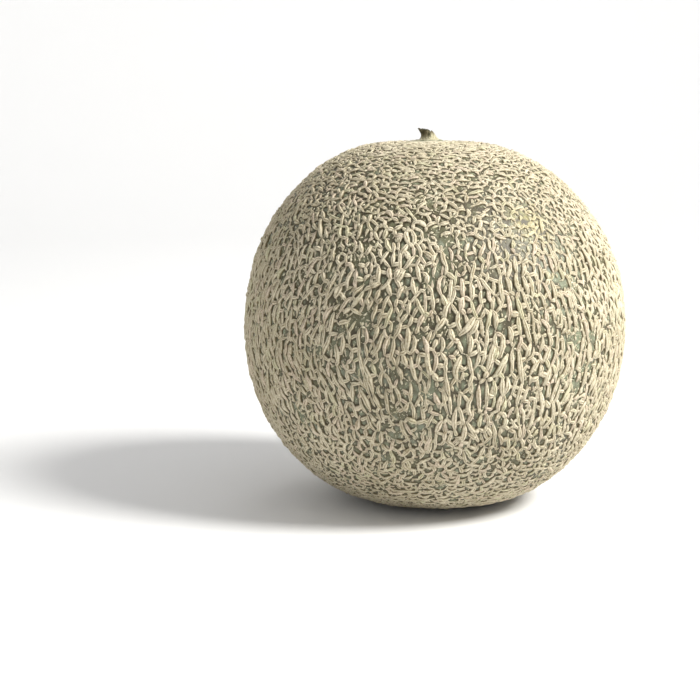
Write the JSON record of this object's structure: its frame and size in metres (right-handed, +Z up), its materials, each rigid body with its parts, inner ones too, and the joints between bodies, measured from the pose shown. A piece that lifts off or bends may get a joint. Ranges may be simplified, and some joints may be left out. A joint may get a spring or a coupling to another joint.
{
  "type": "cantaloupe melon",
  "caption": "Round netted melon with flattened ends, a raised corky net over its whole rind and a short dried stub of stalk on top; it rests on a small flat spot at the blossom end.",
  "frame": {"origin": "under the middle of the fruit, in the plane of the flat spot that it rests on", "axes": "+Z up from the blossom end to the stalk, +X to the right and +Y away from the viewer of the picture"},
  "size_m": [0.149, 0.1464, 0.1454],
  "materials": {
    "rind": "dry raised cork net, cream to tan, over a dull grey-green skin",
    "stalk": "dried, ridged and fibrous, dark grey-brown, with a paler corky foot"
  },
  "bodies": {
    "root": {"melon": "rind", "stalk": "stalk"}
  },
  "joints": []
}
